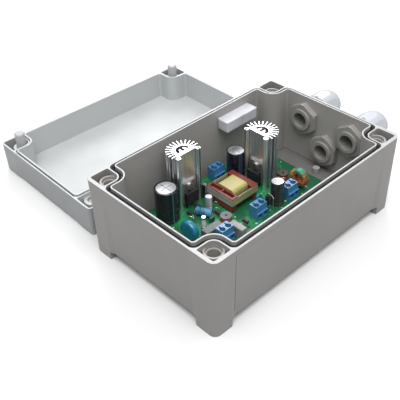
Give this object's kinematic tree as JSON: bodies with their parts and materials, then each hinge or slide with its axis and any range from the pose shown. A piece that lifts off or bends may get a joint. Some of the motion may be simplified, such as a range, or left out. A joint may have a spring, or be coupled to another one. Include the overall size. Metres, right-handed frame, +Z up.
{
  "type": "outdoor power supply",
  "caption": "Sealed wall-mounting power supply with its lid off: grooved rim, cable glands, circuit board, finned heat sinks and screw terminals.",
  "frame": {"origin": "centre of the four wall fixing holes, on the plane of the feet", "axes": "+X along the box towards the cable glands, +Y towards the lid that lies behind, +Z up out of the open box"},
  "size_m": [0.1981, 0.2342, 0.0591],
  "materials": {
    "black_rubber": "matt",
    "board_laminate": "gloss",
    "bobbin_red": "satin",
    "can_aluminium": "satin",
    "cap_metal": "gloss",
    "case_epoxy": "matt",
    "cement": "matt",
    "copper_wire": "satin",
    "core_tape": "satin",
    "diode_black": "satin",
    "disc_teal": "satin",
    "enclosure_plastic": "satin",
    "ferrite": "matt",
    "film_grey": "satin",
    "fuse_glass": "gloss",
    "gland_plastic": "satin",
    "green_core": "satin",
    "heatsink_aluminium": "satin",
    "label_film": "satin",
    "lid_plastic": "satin",
    "pad_mica": "matt",
    "screw_plastic": "satin",
    "sleeve_black": "gloss",
    "sleeve_blue": "gloss",
    "sleeve_navy": "gloss",
    "steel": "satin",
    "terminal_blue": "satin",
    "tinned_copper": "satin",
    "varistor_coat": "satin",
    "winding_tape": "satin"
  },
  "bodies": {
    "root": {"axial_bodies": "diode_black", "base_box": "enclosure_plastic", "board_screws": "steel", "cement_resistor": "cement", "choke_cores": "ferrite", "choke_windings": "copper_wire", "circuit_board": "board_laminate", "component_leads": "tinned_copper", "disc_capacitor": "disc_teal", "filter_capacitor_can": "can_aluminium", "filter_capacitor_sleeve": "sleeve_black", "fuse_caps": "cap_metal", "fuse_tube": "fuse_glass", "gland_1_body": "gland_plastic", "gland_1_cap": "gland_plastic", "gland_1_nut": "gland_plastic", "gland_2_body": "gland_plastic", "gland_2_cap": "gland_plastic", "gland_2_nut": "gland_plastic", "gland_3_body": "gland_plastic", "gland_3_cap": "gland_plastic", "gland_3_nut": "gland_plastic", "gland_inserts": "black_rubber", "gland_seals": "black_rubber", "heatsink_left": "heatsink_aluminium", "heatsink_right": "heatsink_aluminium", "insulating_pads": "pad_mica", "large_capacitor_can": "can_aluminium", "large_capacitor_sleeve": "sleeve_black", "lid": "lid_plastic", "lid_screws": "screw_plastic", "long_film_capacitor": "film_grey", "lying_capacitor_can": "can_aluminium", "lying_capacitor_sleeve": "sleeve_blue", "output_capacitor_can": "can_aluminium", "output_capacitor_sleeve": "sleeve_navy", "rating_label": "label_film", "rim_gasket": "black_rubber", "short_film_capacitor": "film_grey", "start_capacitor_can": "can_aluminium", "start_capacitor_sleeve": "film_grey", "terminal_clamps": "steel", "terminal_housings": "terminal_blue", "terminal_screws": "steel", "timing_capacitor_can": "can_aluminium", "timing_capacitor_sleeve": "sleeve_black", "toroid_core": "green_core", "toroid_winding": "copper_wire", "transformer_bobbin": "bobbin_red", "transformer_core": "ferrite", "transformer_pins": "tinned_copper", "transformer_tape": "core_tape", "transformer_winding": "winding_tape", "transistor_leads": "tinned_copper", "transistor_left_case": "case_epoxy", "transistor_left_tab": "tinned_copper", "transistor_right_case": "case_epoxy", "transistor_right_tab": "tinned_copper", "transistor_screws": "steel", "varistor": "varistor_coat"}
  },
  "joints": []
}
